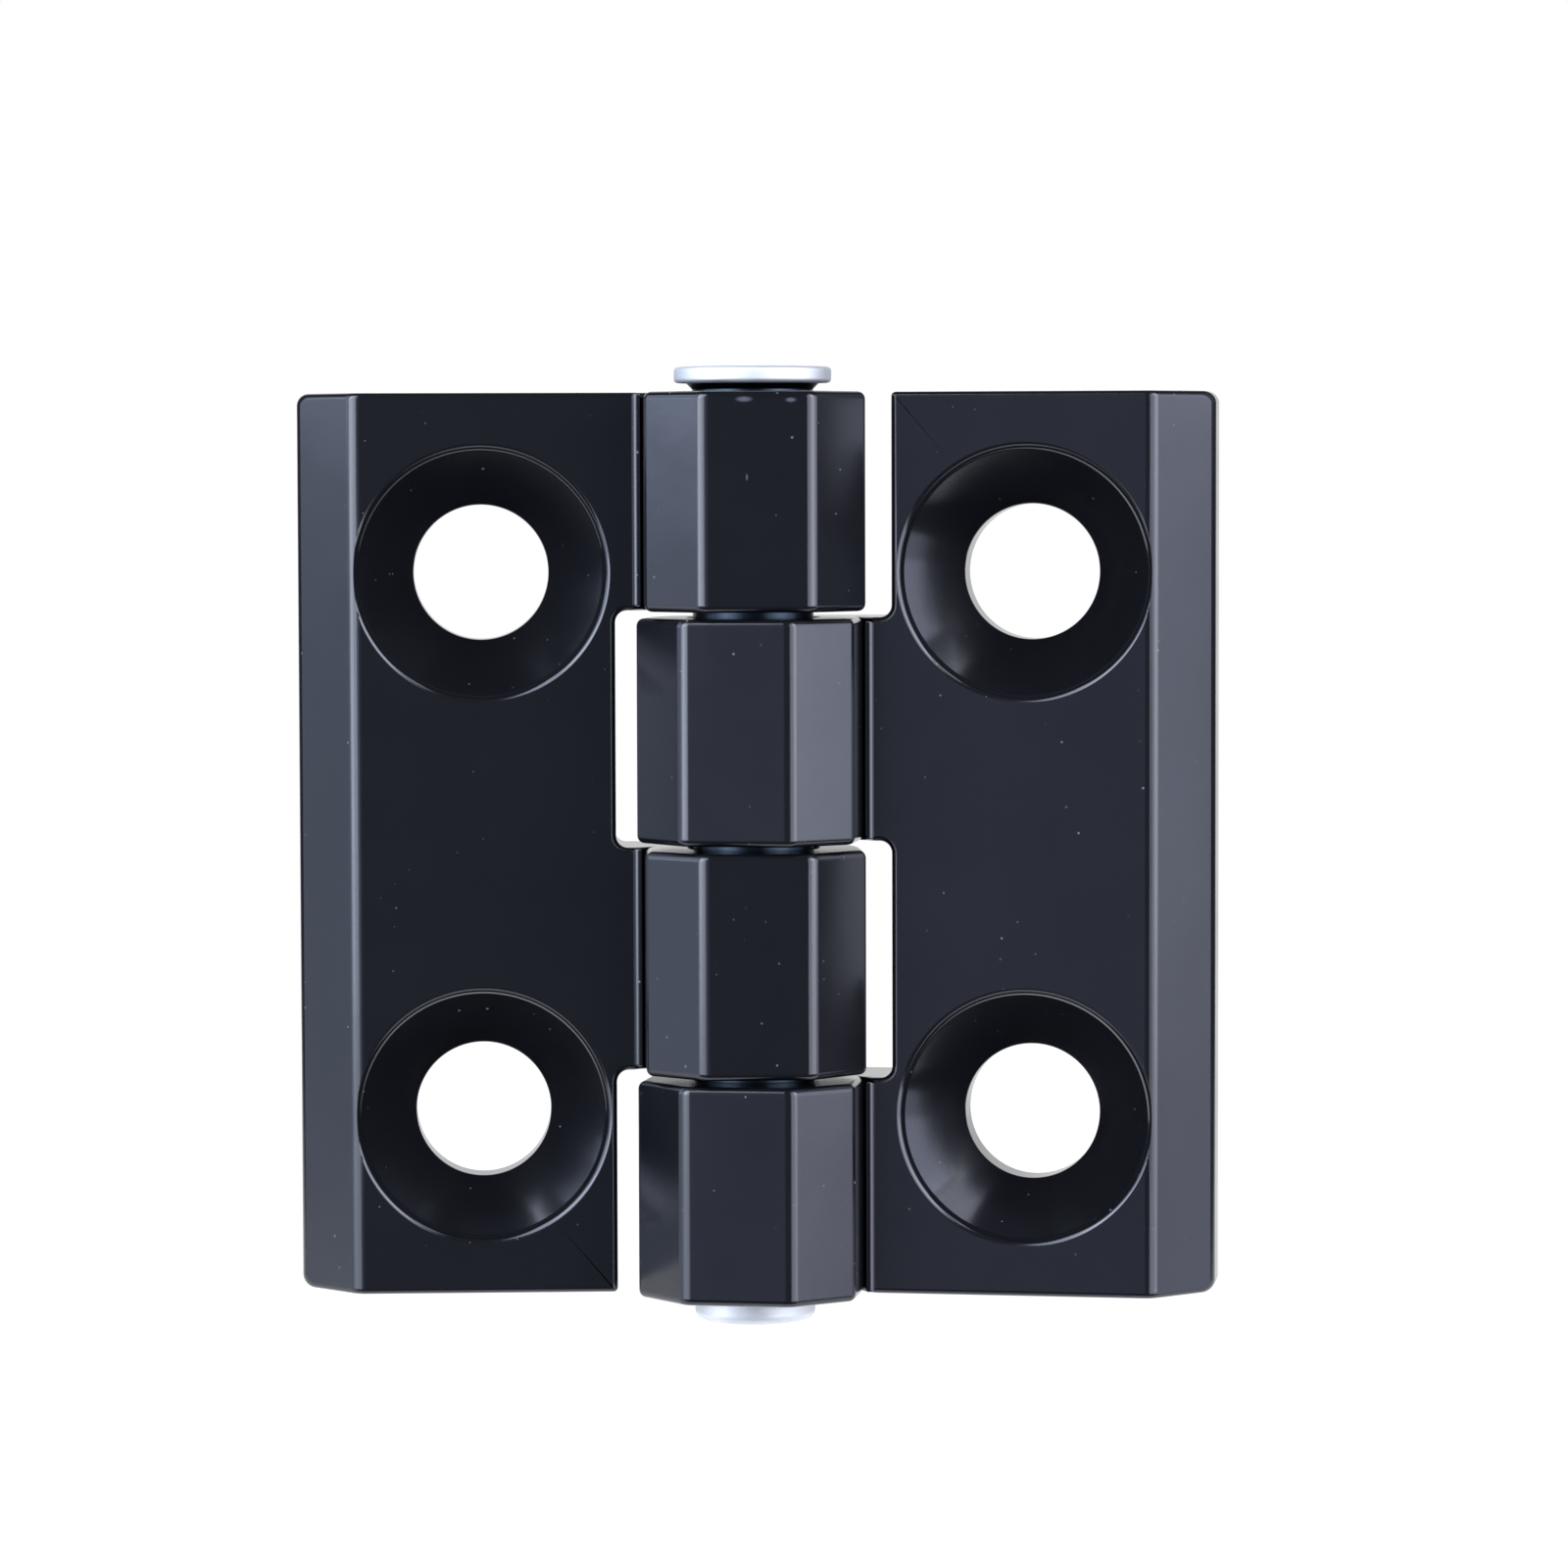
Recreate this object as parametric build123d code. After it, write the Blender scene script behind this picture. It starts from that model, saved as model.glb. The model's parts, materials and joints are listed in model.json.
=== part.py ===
from build123d import *
import math
import os

# Cast butt hinge: two die-cast zinc leaves turn on one plain steel pin.
# Millimetres, +Z up along the pin. The front faces -Y, the mounting faces look towards +Y.
# The origin lies on the fixed leaf's mounting face, midway between its two screw holes.

# Leaf plate. The reach of a leaf is measured from the pin axis.
LEAF_LENGTH = 59.8
LEAF_REACH = 30.2
LEAF_THICKNESS = 6.8
SLOPE_WIDTH = 3.6
SLOPE_DEPTH = 4.0
NOTCH_CORNER_RADIUS = 0.8
OUTER_CORNER_RADIUS = 0.8
GROOVE_WIDTH = 0.6
ROOT_HEIGHT = 0.6

# Countersunk screw holes, two in each leaf. The land is what stands between a countersink and the notches.
HOLE_DIAMETER = 9.0
COUNTERSINK_DIAMETER = 16.8
COUNTERSINK_ANGLE = 90.0
COUNTERSINK_LAND = 0.49
HOLE_PITCH = 36.0

# Knuckles: half an octagon in front of the pin, a round barrel behind it.
KNUCKLE_WIDTH = 14.5
KNUCKLE_FLAT_WIDTH = 7.3
KNUCKLE_FRONT = 6.9
KNUCKLE_FACET_DEPTH = 3.5
END_KNUCKLE_LENGTH = 14.4

# Plain pin, pressed into the fixed leaf. The head's overhang is measured beyond the shank.
PIN_DIAMETER = 8.0
HEAD_OVERHANG = 1.2
HEAD_THICKNESS = 1.05
TAIL_LENGTH = 1.65

# Clearances and fits.
SWING_CLEARANCE = 1.1
KNUCKLE_GAP = 0.45
BARREL_RELIEF = 0.1
HEAD_STANDOFF = 0.6
RUNNING_CLEARANCE = 0.05
PRESS_INTERFERENCE = 0.01

# Roundings and small chamfers.
RIDGE_RADIUS = 0.8
EDGE_RADIUS = 0.4
GROOVE_EDGE_RADIUS = 0.5
COUNTERSINK_RIM_CHAMFER = 0.2
KNUCKLE_RIDGE_RADIUS = 0.9
KNUCKLE_SIDE_RADIUS = 0.6
KNUCKLE_END_CHAMFER = 0.4
BORE_CHAMFER = 0.4
HEAD_CHAMFER = 0.2
NECK_CHAMFER = 0.4
TAIL_RADIUS = 0.6

# How far the moving leaf is turned towards the front.
FOLD_ANGLE = 12.0

# How far a cutter runs past the casting.
CUT_PAST = 2.0

# Places worked out from the sizes above.
HALF_LENGTH = LEAF_LENGTH / 2
HALF_KNUCKLE = KNUCKLE_WIDTH / 2
HALF_FLAT = KNUCKLE_FLAT_WIDTH / 2
SHOULDER_Y = -KNUCKLE_FRONT + KNUCKLE_FACET_DEPTH
AXIS_HEIGHT = HALF_KNUCKLE + BARREL_RELIEF
FACE_Y = AXIS_HEIGHT - LEAF_THICKNESS
SWING_RADIUS = max(math.hypot(HALF_KNUCKLE, SHOULDER_Y), math.hypot(HALF_FLAT, KNUCKLE_FRONT))
NOTCH_REACH = SWING_RADIUS + SWING_CLEARANCE
HOLE_TO_PIN = NOTCH_REACH + COUNTERSINK_LAND + COUNTERSINK_DIAMETER / 2
END_KNUCKLE_BOTTOM = HALF_LENGTH - END_KNUCKLE_LENGTH
INNER_KNUCKLE_TOP = -KNUCKLE_GAP / 2
INNER_KNUCKLE_BOTTOM = -END_KNUCKLE_BOTTOM + KNUCKLE_GAP
PIN_PLACE = Pos(HOLE_TO_PIN, -AXIS_HEIGHT, 0)


def prism(section, bottom, top):
    """Raises a flat section along the pin between two heights."""
    return extrude(Pos(0, 0, bottom) * section, amount=top - bottom)


def plate_section():
    """Section across a leaf plate with its sloped outer edge and the groove at the knuckle root."""
    corners = [
        ((0, AXIS_HEIGHT), 0),
        ((-LEAF_REACH, AXIS_HEIGHT), 0),
        ((-LEAF_REACH, FACE_Y + SLOPE_DEPTH), 0),
        ((-LEAF_REACH + SLOPE_WIDTH, FACE_Y), RIDGE_RADIUS),
        ((-HALF_KNUCKLE - GROOVE_WIDTH, FACE_Y), GROOVE_EDGE_RADIUS),
        ((0, AXIS_HEIGHT - ROOT_HEIGHT), 0),
    ]
    points = [point for point, _ in corners]
    radii = [radius for _, radius in corners]
    return make_face(FilletPolyline(*points, radius=radii, close=True))


def notch(bottom, top):
    """Clearance for a knuckle of the other leaf, with rounded inner corners."""
    width = NOTCH_REACH + HALF_KNUCKLE
    depth = 2 * (AXIS_HEIGHT + CUT_PAST)
    block = Box(width, depth, top - bottom, align=(Align.MIN, Align.CENTER, Align.MIN))
    block = Pos(-NOTCH_REACH, 0, bottom) * block
    inner_corners = block.edges().filter_by(Axis.Y).group_by(Axis.X)[0]
    return fillet(inner_corners, NOTCH_CORNER_RADIUS)


def is_front_rim(edge):
    """Tells whether an edge lies where two of the front face, an end and a notch meet, off the back."""
    middle = edge.center(CenterOf.BOUNDING_BOX)
    if abs(middle.Y - AXIS_HEIGHT) < EDGE_RADIUS or middle.X > -HALF_KNUCKLE:
        return False
    in_face = abs(middle.Y - FACE_Y) < EDGE_RADIUS / 2
    at_end = abs(abs(middle.Z) - HALF_LENGTH) < EDGE_RADIUS
    beside_notch = middle.X > -NOTCH_REACH - EDGE_RADIUS / 2
    return in_face + at_end + beside_notch >= 2


def plate():
    """Leaf plate without its holes: webs stay only beside the leaf's own knuckles.

    The rounding of the front rims runs on round the outer corners and along the outer edge.
    """
    body = prism(plate_section(), -HALF_LENGTH, HALF_LENGTH)
    body -= notch(INNER_KNUCKLE_TOP, END_KNUCKLE_BOTTOM)
    body -= notch(-HALF_LENGTH - CUT_PAST, INNER_KNUCKLE_BOTTOM)
    outer_corners = body.edges().filter_by(Axis.Y).group_by(Axis.X)[0]
    body = fillet(outer_corners, OUTER_CORNER_RADIUS)
    return fillet(body.edges().filter_by(is_front_rim), EDGE_RADIUS)


def knuckle_section():
    """Section across a knuckle: three front facets, two side walls and a round back."""
    points = [
        (-HALF_KNUCKLE, 0),
        (-HALF_KNUCKLE, SHOULDER_Y),
        (-HALF_FLAT, -KNUCKLE_FRONT),
        (HALF_FLAT, -KNUCKLE_FRONT),
        (HALF_KNUCKLE, SHOULDER_Y),
        (HALF_KNUCKLE, 0),
    ]
    radii = [KNUCKLE_SIDE_RADIUS, KNUCKLE_RIDGE_RADIUS, KNUCKLE_RIDGE_RADIUS, KNUCKLE_SIDE_RADIUS]
    front = FilletPolyline(*points, radius=radii)
    back = ThreePointArc(points[-1], (0, HALF_KNUCKLE), points[0])
    return make_face([front, back])


def knuckle(bottom, top):
    """One knuckle with the edges broken at both its ends."""
    body = prism(knuckle_section(), bottom, top)
    levels = body.edges().group_by(Axis.Z)
    return chamfer(levels[0] + levels[-1], KNUCKLE_END_CHAMFER)


def bore(radius, bottom, top):
    """Cutter for the pin bore through one knuckle, chamfered at both mouths."""
    hole = Pos(0, 0, (bottom + top) / 2) * Cylinder(radius, top - bottom)
    mouth = Cone(radius + BORE_CHAMFER, radius, BORE_CHAMFER, align=(Align.CENTER, Align.CENTER, Align.MIN))
    return hole + Pos(0, 0, bottom) * mouth + Pos(0, 0, top) * Rot(180, 0, 0) * mouth


def countersunk_hole():
    """Cutter for one screw hole: straight hole, cone and a broken rim, opening towards -Y."""
    hole_radius = HOLE_DIAMETER / 2
    rim_radius = COUNTERSINK_DIAMETER / 2
    cone_slope = 1 / math.tan(math.radians(COUNTERSINK_ANGLE / 2))
    rim_slope = cone_slope / 2
    bottom = LEAF_THICKNESS + CUT_PAST
    outline = Polyline(
        (0, bottom),
        (hole_radius, bottom),
        (hole_radius, (rim_radius - hole_radius) * cone_slope),
        (rim_radius - COUNTERSINK_RIM_CHAMFER, COUNTERSINK_RIM_CHAMFER * cone_slope),
        (rim_radius + COUNTERSINK_RIM_CHAMFER, 0),
        (rim_radius + CUT_PAST, (COUNTERSINK_RIM_CHAMFER - CUT_PAST) * rim_slope),
        (0, (COUNTERSINK_RIM_CHAMFER - CUT_PAST) * rim_slope),
        close=True,
    )
    return Pos(-HOLE_TO_PIN, FACE_Y, 0) * revolve(make_face(outline), Axis.Y)


def leaf(bore_radius):
    """One cast leaf in its own place: pin axis on Z, plate towards -X, front towards -Y."""
    body = plate()
    spans = ((END_KNUCKLE_BOTTOM, HALF_LENGTH), (INNER_KNUCKLE_BOTTOM, INNER_KNUCKLE_TOP))
    for bottom, top in spans:
        body += knuckle(bottom, top)
        body -= bore(bore_radius, bottom, top)
    for height in (-HOLE_PITCH / 2, HOLE_PITCH / 2):
        body -= Pos(0, 0, height) * countersunk_hole()
    return body


def fixed_leaf():
    """Left leaf, which holds the pin."""
    return PIN_PLACE * leaf(PIN_DIAMETER / 2 - PRESS_INTERFERENCE)


def moving_leaf():
    """Right leaf: the same casting turned end for end and swung towards the front on the pin."""
    turned = Rot(0, 180, 0) * leaf(PIN_DIAMETER / 2 + RUNNING_CLEARANCE)
    return PIN_PLACE * Rot(0, 0, -FOLD_ANGLE) * turned


def hinge_pin():
    """Turned pin with a thin flat head above the top knuckle and a rounded tail below."""
    shank_radius = PIN_DIAMETER / 2
    head_radius = shank_radius + HEAD_OVERHANG
    head_bottom = HALF_LENGTH + HEAD_STANDOFF
    head_top = head_bottom + HEAD_THICKNESS
    tail_end = -HALF_LENGTH - TAIL_LENGTH
    outline = FilletPolyline(
        (0, tail_end),
        (shank_radius, tail_end),
        (shank_radius, head_bottom - NECK_CHAMFER),
        (shank_radius + NECK_CHAMFER, head_bottom),
        (head_radius - HEAD_CHAMFER, head_bottom),
        (head_radius, head_bottom + HEAD_CHAMFER),
        (head_radius, head_top - HEAD_CHAMFER),
        (head_radius - HEAD_CHAMFER, head_top),
        (0, head_top),
        radius=[TAIL_RADIUS, 0, 0, 0, 0, 0, 0],
    )
    profile = make_face([outline, Line((0, head_top), (0, tail_end))])
    return PIN_PLACE * revolve(Rot(90, 0, 0) * profile, Axis.Z)


os.makedirs("parts", exist_ok=True)
for piece in (fixed_leaf, moving_leaf, hinge_pin):
    export_step(piece(), f"parts/{piece.__name__}.step")
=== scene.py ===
import json
import logging
import math
from dataclasses import dataclass
from enum import Enum
from typing import Callable, Iterator, Sequence

import bpy
from mathutils import Matrix, Vector


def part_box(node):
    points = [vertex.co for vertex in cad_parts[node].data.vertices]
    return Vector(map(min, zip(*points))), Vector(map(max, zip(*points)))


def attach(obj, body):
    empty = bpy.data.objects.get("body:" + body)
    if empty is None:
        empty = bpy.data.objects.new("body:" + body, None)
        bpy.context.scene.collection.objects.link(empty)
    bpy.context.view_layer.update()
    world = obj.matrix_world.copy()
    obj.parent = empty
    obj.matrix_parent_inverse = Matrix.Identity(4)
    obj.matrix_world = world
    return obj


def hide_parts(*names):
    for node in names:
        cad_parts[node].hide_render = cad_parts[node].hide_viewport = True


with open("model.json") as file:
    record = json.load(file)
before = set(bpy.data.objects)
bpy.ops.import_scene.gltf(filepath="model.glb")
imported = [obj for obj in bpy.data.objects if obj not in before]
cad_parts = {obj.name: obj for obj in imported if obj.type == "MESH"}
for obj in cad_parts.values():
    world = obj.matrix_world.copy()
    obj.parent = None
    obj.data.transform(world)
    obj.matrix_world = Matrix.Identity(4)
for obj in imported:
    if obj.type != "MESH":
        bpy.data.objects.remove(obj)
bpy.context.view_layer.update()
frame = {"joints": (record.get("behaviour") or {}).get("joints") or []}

log = logging.getLogger("butt_hinge")

# The pieces are shaped in millimetres and brought to metres when they are finished.
MM = 0.001

Point2 = tuple[float, float]
Point3 = tuple[float, float, float]


class Side(Enum):
    """The two bodies that the joint leaves, by the names of the CAD bodies."""

    FIXED = "fixed_side"
    MOVING = "moving_side"


class Finish(Enum):
    """The record's material slots."""

    POWDER_COAT = "powder_coat"
    ZINC_PLATE = "zinc_plate"


class Cut(Enum):
    """What a boolean does with its second mesh."""

    TAKE_AWAY = "DIFFERENCE"
    FUSE = "UNION"


@dataclass(frozen=True)
class EdgeFacts:
    """What a choice of edges may look at, in millimetres.

    Args:
        start: One end of the edge.
        end: Its other end.
        normals: The normals of the faces beside it.
    """

    start: Vector
    end: Vector
    normals: tuple[Vector, ...]

    @property
    def turn(self) -> float:
        """The angle in radians by which the surface turns over the edge."""
        return self.normals[0].angle(self.normals[-1], 0.0)


EdgeTest = Callable[[EdgeFacts], bool]


class Workpiece:
    """A mesh on the bench, in millimetres, with the operations that shape it."""

    def __init__(self, obj: bpy.types.Object) -> None:
        """Takes over an object that has just been made."""
        self.obj = obj

    @classmethod
    def block(cls, low: Point3, high: Point3) -> "Workpiece":
        """Starts from a rectangular block.

        Args:
            low: The block's lowest corner.
            high: Its highest corner.

        Returns:
            The block as a new workpiece.
        """
        size = Vector(high) - Vector(low)
        bpy.ops.mesh.primitive_cube_add(size=1, location=(Vector(low) + Vector(high)) / 2, scale=size)
        piece = cls(bpy.context.object)
        piece.apply_place()
        return piece

    @classmethod
    def turned(cls, profile: Sequence[Point2], steps: int) -> "Workpiece":
        """Turns a solid about Z, ring on ring, from a filled disc.

        Args:
            profile: Radius and height of each ring, from one end of the solid to the other.
            steps: How many sides each ring has.

        Returns:
            The closed solid as a new workpiece.
        """
        radius, height = profile[0]
        bpy.ops.mesh.primitive_circle_add(
            vertices=steps, radius=radius, fill_type="NGON", location=(0, 0, height))
        piece = cls(bpy.context.object)
        piece.apply_place()
        bpy.ops.object.mode_set(mode="EDIT")
        bpy.ops.mesh.select_all(action="SELECT")
        for next_radius, next_height in profile[1:]:
            rise = (0, 0, next_height - height)
            bpy.ops.mesh.extrude_region_move(TRANSFORM_OT_translate={"value": rise})
            growth = next_radius / radius
            bpy.ops.transform.resize(value=(growth, growth, 1), center_override=(0, 0, next_height))
            radius, height = next_radius, next_height
        bpy.ops.mesh.select_all(action="SELECT")
        bpy.ops.mesh.normals_make_consistent(inside=False)
        bpy.ops.object.mode_set(mode="OBJECT")
        return piece

    def activate(self) -> None:
        """Makes this the one selected and active object."""
        bpy.ops.object.select_all(action="DESELECT")
        self.obj.select_set(True)
        bpy.context.view_layer.objects.active = self.obj

    def apply_place(self) -> None:
        """Moves the object's place, turn and scale into its mesh."""
        self.activate()
        bpy.ops.object.transform_apply(location=True, rotation=True, scale=True)

    def move(self, matrix: Matrix) -> None:
        """Moves the mesh by a matrix and leaves the object at the origin."""
        self.obj.matrix_world = matrix
        self.apply_place()

    def copy(self) -> "Workpiece":
        """Returns a second workpiece with a mesh of its own."""
        self.activate()
        bpy.ops.object.duplicate(linked=False)
        return Workpiece(bpy.context.object)

    def close_up(self, reach: float = 0.0005) -> None:
        """Merges points that lie within reach of each other, in millimetres."""
        self.activate()
        bpy.ops.object.mode_set(mode="EDIT")
        bpy.ops.mesh.select_all(action="SELECT")
        bpy.ops.mesh.remove_doubles(threshold=reach)
        bpy.ops.object.mode_set(mode="OBJECT")

    def slice(self, point: Point3, normal: Point3) -> None:
        """Cuts off what lies beyond a plane and closes the cut.

        Args:
            point: A point in the plane.
            normal: The plane's normal, towards the side that goes.
        """
        self.activate()
        bpy.ops.object.mode_set(mode="EDIT")
        bpy.ops.mesh.select_all(action="SELECT")
        bpy.ops.mesh.bisect(
            plane_co=point, plane_no=Vector(normal).normalized(), use_fill=True, clear_outer=True)
        bpy.ops.object.mode_set(mode="OBJECT")

    def edges(self) -> Iterator[tuple[bpy.types.MeshEdge, EdgeFacts]]:
        """Yields each edge between two faces with its facts."""
        mesh = self.obj.data
        beside: dict[tuple[int, int], list[Vector]] = {}
        for face in mesh.polygons:
            for key in face.edge_keys:
                beside.setdefault(key, []).append(face.normal.copy())
        for edge in mesh.edges:
            normals = beside.get(edge.key, [])
            if len(normals) == 2:
                start, end = (mesh.vertices[index].co.copy() for index in edge.vertices)
                yield edge, EdgeFacts(start, end, tuple(normals))

    def soften(self, chosen: EdgeTest, radius: float, steps: int) -> int:
        """Rounds off the chosen edges, with the radius true where an edge turns furthest.

        Args:
            chosen: Tells whether an edge is rounded.
            radius: The rounding's radius.
            steps: How many strips the rounding gets.

        Returns:
            How many edges were rounded.
        """
        mesh = self.obj.data
        for group in (mesh.vertices, mesh.edges, mesh.polygons):
            group.foreach_set("select", [False] * len(group))
        found = [(edge, facts) for edge, facts in self.edges() if chosen(facts)]
        for edge, _ in found:
            edge.select = True
        if not found:
            return 0
        turn = max(facts.turn for _, facts in found)
        self.activate()
        bpy.context.tool_settings.mesh_select_mode = (False, True, False)
        bpy.ops.object.mode_set(mode="EDIT")
        bpy.ops.mesh.bevel(
            offset_type="OFFSET", offset=radius * math.tan(turn / 2), segments=steps,
            profile=0.5, affect="EDGES", clamp_overlap=False)
        bpy.ops.object.mode_set(mode="OBJECT")
        return len(found)

    def combine(self, other: "Workpiece", cut: Cut) -> None:
        """Cuts another workpiece out of this one or fuses it on, and clears it away."""
        self.activate()
        boolean = self.obj.modifiers.new("combine", "BOOLEAN")
        boolean.operation = cut.value
        boolean.solver = "MANIFOLD"
        boolean.object = other.obj
        bpy.ops.object.modifier_apply(modifier=boolean.name)
        bpy.data.objects.remove(other.obj)

    def smooth(self, crease_degrees: float) -> None:
        """Shades the roundings smooth and keeps the flats flat.

        Args:
            crease_degrees: Edges that turn further than this stay sharp.
        """
        self.activate()
        bpy.ops.object.shade_smooth_by_angle(angle=math.radians(crease_degrees))
        weighted = self.obj.modifiers.new("weighted", "WEIGHTED_NORMAL")
        weighted.keep_sharp = True
        weighted.weight = 100
        bpy.ops.object.modifier_apply(modifier=weighted.name)


def rounded(corners: Sequence[tuple[float, float, float]], steps: int) -> list[Point2]:
    """Rounds the corners of a turned profile.

    Args:
        corners: Radius, height and rounding radius of each corner in order.
        steps: How many strips a rounding gets.

    Returns:
        The profile's points, with an arc in place of each rounded corner.
    """
    points: list[Point2] = []
    for index, (x, y, radius) in enumerate(corners):
        if radius == 0:
            points.append((x, y))
            continue
        corner = Vector((x, y))
        back = (Vector(corners[index - 1][:2]) - corner).normalized()
        ahead = (Vector(corners[index + 1][:2]) - corner).normalized()
        half = back.angle(ahead) / 2
        centre = corner + (back + ahead).normalized() * radius / math.sin(half)
        start = corner + back * radius / math.tan(half) - centre
        end = corner + ahead * radius / math.tan(half) - centre
        sweep = start.angle_signed(end)
        for step in range(steps + 1):
            arm = start.copy()
            arm.rotate(Matrix.Rotation(-sweep * step / steps, 2))
            points.append(tuple(centre + arm))
    return points


@dataclass(frozen=True)
class CastingSizes:
    """Driving sizes of the cast leaf, in millimetres.

    The casting lies with the pin axis on Z, the plate towards -X and the front towards -Y.
    Heights along Y are measured from the pin axis.
    """

    length: float
    reach: float
    axis_height: float
    thickness: float = 6.8
    slope_width: float = 3.75
    slope_depth: float = 4.0
    groove_width: float = 0.6
    root_height: float = 0.6
    notch_reach: float = 9.11
    hole_diameter: float = 9.0
    countersink_diameter: float = 16.8
    countersink_degrees: float = 88.0
    land_width: float = 0.3
    land_depth: float = 0.52
    hole_pitch: float = 36.0
    hole_to_pin: float = 18.0
    knuckle_width: float = 14.5
    knuckle_flat: float = 7.2
    knuckle_front: float = 6.9
    facet_depth: float = 3.5
    end_knuckle: float = 14.4
    knuckle_gap: float = 0.45
    bore_radius: float = 4.05
    bore_chamfer: float = 0.4
    # The bead beside a knuckle starts this far from its wall and stops this short of its bottom.
    bead_start: float = 0.15
    bead_width: float = 0.62
    bead_height: float = 0.3
    bead_short: float = 0.3

    @property
    def half_length(self) -> float:
        """Half the casting's length along the pin."""
        return self.length / 2

    @property
    def half_knuckle(self) -> float:
        """Half the width of a knuckle."""
        return self.knuckle_width / 2

    @property
    def face(self) -> float:
        """Where the plate's front face lies on Y."""
        return self.axis_height - self.thickness

    @property
    def spans(self) -> tuple[Point2, Point2]:
        """Bottom and top of the end knuckle and of the inner knuckle."""
        end_bottom = self.half_length - self.end_knuckle
        return (end_bottom, self.half_length), (self.knuckle_gap - end_bottom, -self.knuckle_gap / 2)


@dataclass(frozen=True)
class Roundings:
    """Radii that a casting's edges get from the mould and the coat, in millimetres."""

    ridge: float = 1.25
    root: float = 0.5
    rim: float = 0.4
    back_rim: float = 0.15
    outer_corner: float = 0.8
    notch_corner: float = 0.8
    free_corner: float = 0.3
    knuckle_ridge: float = 1.25
    knuckle_side: float = 0.6
    knuckle_end: float = 0.5
    bead_front: float = 0.48
    bead_edge: float = 0.12
    countersink_rim: float = 0.7
    countersink_seat: float = 0.6
    hole_rim: float = 0.25


def upright_at(x: float, y: float, reach: float = 0.02) -> EdgeTest:
    """Returns a test for edges along Z that stand at one place."""

    def test(edge: EdgeFacts) -> bool:
        """Tells whether both ends stand at the place."""
        ends = (edge.start, edge.end)
        return all(abs(end.x - x) < reach and abs(end.y - y) < reach for end in ends)

    return test


def crosswise_at(x: float, z: float, reach: float = 0.02) -> EdgeTest:
    """Returns a test for edges along Y that lie at one place."""

    def test(edge: EdgeFacts) -> bool:
        """Tells whether both ends lie at the place."""
        ends = (edge.start, edge.end)
        return all(abs(end.x - x) < reach and abs(end.z - z) < reach for end in ends)

    return test


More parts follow.
